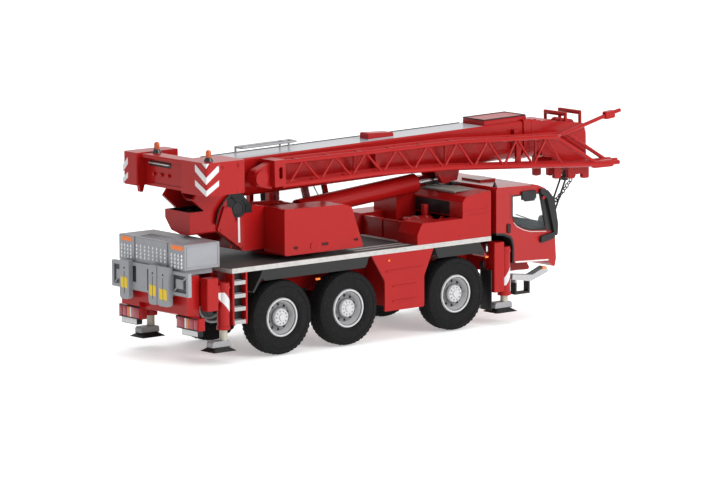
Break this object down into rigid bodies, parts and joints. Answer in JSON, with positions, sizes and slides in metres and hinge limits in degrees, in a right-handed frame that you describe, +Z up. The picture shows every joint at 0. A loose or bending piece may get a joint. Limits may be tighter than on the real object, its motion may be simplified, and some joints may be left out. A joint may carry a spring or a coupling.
{
  "type": "scale model of a three-axle mobile crane",
  "caption": "Red scale model of a three-axle all-terrain mobile crane with telescopic boom, folded lattice jib, outriggers, driver's cab and rear ballast rack.",
  "frame": {"origin": "middle of the bounding box, on the ground under the wheels", "axes": "+X to the front, +Y to the left side, +Z up"},
  "size_m": [0.2348, 0.0544, 0.0826],
  "materials": {
    "amber": "amber lens plastic",
    "black_trim": "satin black plastic",
    "dark_metal": "dark metal",
    "deck_grey": "ribbed light grey deck",
    "foot_grey": "grey foot on a black pad",
    "grey_paint": "satin light grey paint",
    "interior": "dark interior plastic",
    "muffler_steel": "silver muffler",
    "red_paint": "gloss red paint on die-cast metal",
    "rim_silver": "silver paint",
    "tyre": "matt black rubber"
  },
  "bodies": {
    "carrier": {"axle_beams": "dark_metal", "ballast_rack": "grey_paint", "ballast_slabs": "grey_paint", "boarding_ladders": "red_paint", "boom_rest": "black_trim", "cab_interior": "interior", "cab_shell": "red_paint", "cab_trim": "black_trim", "chassis_frame": "red_paint", "deck_plates": "deck_grey", "engine_housing": "red_paint", "exhaust_muffler": "muffler_steel", "fenders": "black_trim", "front_steps": "red_paint", "lamp_bars": "red_paint", "outrigger_housings": "red_paint", "rear_panel": "red_paint", "side_lockers": "red_paint", "side_panels": "red_paint"},
    "superstructure": {"slew_platform": "red_paint", "tail_blocks": "red_paint", "beacons": "amber", "power_housing": "red_paint", "operator_cab": "red_paint", "operator_seat": "interior"},
    "winch": {"winch_drum": "dark_metal"},
    "boom": {"boom_base": "red_paint", "lattice_jib": "red_paint"},
    "section_2": {"boom_section_2": "red_paint"},
    "section_3": {"boom_section_3": "red_paint"},
    "head": {"boom_head": "red_paint"},
    "luff_barrel": {"luff_barrel": "red_paint"},
    "luff_rod": {"luff_rod": "red_paint"},
    "hook_block": {"hook_block": "red_paint"},
    "knuckle_1_right": {"knuckle_1_right": "dark_metal"},
    "wheel_1_right": {"tyre_1_right": "tyre", "rim_1_right": "rim_silver"},
    "knuckle_1_left": {"knuckle_1_left": "dark_metal"},
    "wheel_1_left": {"tyre_1_left": "tyre", "rim_1_left": "rim_silver"},
    "knuckle_2_right": {"knuckle_2_right": "dark_metal"},
    "wheel_2_right": {"tyre_2_right": "tyre", "rim_2_right": "rim_silver"},
    "knuckle_2_left": {"knuckle_2_left": "dark_metal"},
    "wheel_2_left": {"tyre_2_left": "tyre", "rim_2_left": "rim_silver"},
    "knuckle_3_right": {"knuckle_3_right": "dark_metal"},
    "wheel_3_right": {"tyre_3_right": "tyre", "rim_3_right": "rim_silver"},
    "knuckle_3_left": {"knuckle_3_left": "dark_metal"},
    "wheel_3_left": {"tyre_3_left": "tyre", "rim_3_left": "rim_silver"},
    "outrigger_front_right": {"outrigger_beam_front_right": "red_paint"},
    "jack_front_right": {"jack_foot_front_right": "foot_grey"},
    "outrigger_front_left": {"outrigger_beam_front_left": "red_paint"},
    "jack_front_left": {"jack_foot_front_left": "foot_grey"},
    "outrigger_rear_right": {"outrigger_beam_rear_right": "red_paint"},
    "jack_rear_right": {"jack_foot_rear_right": "foot_grey"},
    "outrigger_rear_left": {"outrigger_beam_rear_left": "red_paint"},
    "jack_rear_left": {"jack_foot_rear_left": "foot_grey"}
  },
  "joints": [
    {"name": "steer_1_right", "type": "hinge", "parent": "carrier", "child": "knuckle_1_right", "pos_m": [0.01797, -0.0135, 0.0149], "axis": [0, 0, 1], "range_deg": [-18, 18]},
    {"name": "wheel_1_right_spin", "type": "hinge", "parent": "knuckle_1_right", "child": "wheel_1_right", "pos_m": [0.01797, -0.0215, 0.0149], "axis": [0, 1, 0], "continuous": true},
    {"name": "steer_1_left", "type": "hinge", "parent": "carrier", "child": "knuckle_1_left", "pos_m": [0.01797, 0.0135, 0.0149], "axis": [0, 0, 1], "range_deg": [-18, 18]},
    {"name": "wheel_1_left_spin", "type": "hinge", "parent": "knuckle_1_left", "child": "wheel_1_left", "pos_m": [0.01797, 0.0215, 0.0149], "axis": [0, 1, 0], "continuous": true},
    {"name": "steer_2_right", "type": "hinge", "parent": "carrier", "child": "knuckle_2_right", "pos_m": [-0.03723, -0.0135, 0.0149], "axis": [0, 0, 1], "range_deg": [-8, 8]},
    {"name": "wheel_2_right_spin", "type": "hinge", "parent": "knuckle_2_right", "child": "wheel_2_right", "pos_m": [-0.03723, -0.0215, 0.0149], "axis": [0, 1, 0], "continuous": true},
    {"name": "steer_2_left", "type": "hinge", "parent": "carrier", "child": "knuckle_2_left", "pos_m": [-0.03723, 0.0135, 0.0149], "axis": [0, 0, 1], "range_deg": [-8, 8]},
    {"name": "wheel_2_left_spin", "type": "hinge", "parent": "knuckle_2_left", "child": "wheel_2_left", "pos_m": [-0.03723, 0.0215, 0.0149], "axis": [0, 1, 0], "continuous": true},
    {"name": "steer_3_right", "type": "hinge", "parent": "carrier", "child": "knuckle_3_right", "pos_m": [-0.07043, -0.0135, 0.0149], "axis": [0, 0, 1], "range_deg": [-8, 8]},
    {"name": "wheel_3_right_spin", "type": "hinge", "parent": "knuckle_3_right", "child": "wheel_3_right", "pos_m": [-0.07043, -0.0215, 0.0149], "axis": [0, 1, 0], "continuous": true},
    {"name": "steer_3_left", "type": "hinge", "parent": "carrier", "child": "knuckle_3_left", "pos_m": [-0.07043, 0.0135, 0.0149], "axis": [0, 0, 1], "range_deg": [-8, 8]},
    {"name": "wheel_3_left_spin", "type": "hinge", "parent": "knuckle_3_left", "child": "wheel_3_left", "pos_m": [-0.07043, 0.0215, 0.0149], "axis": [0, 1, 0], "continuous": true},
    {"name": "outrigger_front_right_slide", "type": "slide", "parent": "carrier", "child": "outrigger_front_right", "axis": [0, -1, 0], "range_m": [0, 0.034]},
    {"name": "jack_front_right_slide", "type": "slide", "parent": "outrigger_front_right", "child": "jack_front_right", "axis": [0, 0, -1], "range_m": [0, 0.0055]},
    {"name": "outrigger_front_left_slide", "type": "slide", "parent": "carrier", "child": "outrigger_front_left", "axis": [0, 1, 0], "range_m": [0, 0.034]},
    {"name": "jack_front_left_slide", "type": "slide", "parent": "outrigger_front_left", "child": "jack_front_left", "axis": [0, 0, -1], "range_m": [0, 0.0055]},
    {"name": "outrigger_rear_right_slide", "type": "slide", "parent": "carrier", "child": "outrigger_rear_right", "axis": [0, -1, 0], "range_m": [0, 0.034]},
    {"name": "jack_rear_right_slide", "type": "slide", "parent": "outrigger_rear_right", "child": "jack_rear_right", "axis": [0, 0, -1], "range_m": [0, 0.0055]},
    {"name": "outrigger_rear_left_slide", "type": "slide", "parent": "carrier", "child": "outrigger_rear_left", "axis": [0, 1, 0], "range_m": [0, 0.034]},
    {"name": "jack_rear_left_slide", "type": "slide", "parent": "outrigger_rear_left", "child": "jack_rear_left", "axis": [0, 0, -1], "range_m": [0, 0.0055]},
    {"name": "slew", "type": "hinge", "parent": "carrier", "child": "superstructure", "pos_m": [-0.05043, 0, 0.0376], "axis": [0, 0, 1], "continuous": true},
    {"name": "winch_spin", "type": "hinge", "parent": "superstructure", "child": "winch", "pos_m": [-0.09543, -0.0038, 0.0538], "axis": [0, 1, 0], "continuous": true},
    {"name": "boom_luff", "type": "hinge", "parent": "superstructure", "child": "boom", "pos_m": [-0.08893, 0, 0.07], "axis": [0, -1, 0], "range_deg": [0, 80]},
    {"name": "luff_barrel_pivot", "type": "hinge", "parent": "superstructure", "child": "luff_barrel", "pos_m": [-0.04643, 0, 0.0515], "axis": [0, -1, 0], "range_deg": [0, 89.6]},
    {"name": "luff_rod_slide", "type": "slide", "parent": "luff_barrel", "child": "luff_rod", "axis": [0.9965, 0, 0.0839], "range_m": [0, 0.0574]},
    {"name": "telescope_2", "type": "slide", "parent": "boom", "child": "section_2", "axis": [0.9998, 0, 0.0192], "range_m": [0, 0.105]},
    {"name": "telescope_3", "type": "slide", "parent": "section_2", "child": "section_3", "axis": [0.9998, 0, 0.0192], "range_m": [0, 0.105]},
    {"name": "telescope_4", "type": "slide", "parent": "section_3", "child": "head", "axis": [0.9998, 0, 0.0192], "range_m": [0, 0.105]},
    {"name": "hook_swing", "type": "hinge", "parent": "head", "child": "hook_block", "pos_m": [0.10004, 0, 0.05763], "axis": [0, -1, 0], "range_deg": [-57, 0]}
  ],
  "couplings": [
    {"joint": "steer_1_left", "follows": "steer_1_right", "ratio": 1},
    {"joint": "steer_2_left", "follows": "steer_2_right", "ratio": 1},
    {"joint": "steer_3_left", "follows": "steer_3_right", "ratio": 1},
    {"joint": "luff_barrel_pivot", "follows": "boom_luff", "ratio": 1.1186},
    {"joint": "luff_rod_slide", "follows": "boom_luff", "m_per_rad": 0.04097},
    {"joint": "hook_swing", "follows": "boom_luff", "ratio": -0.7}
  ]
}
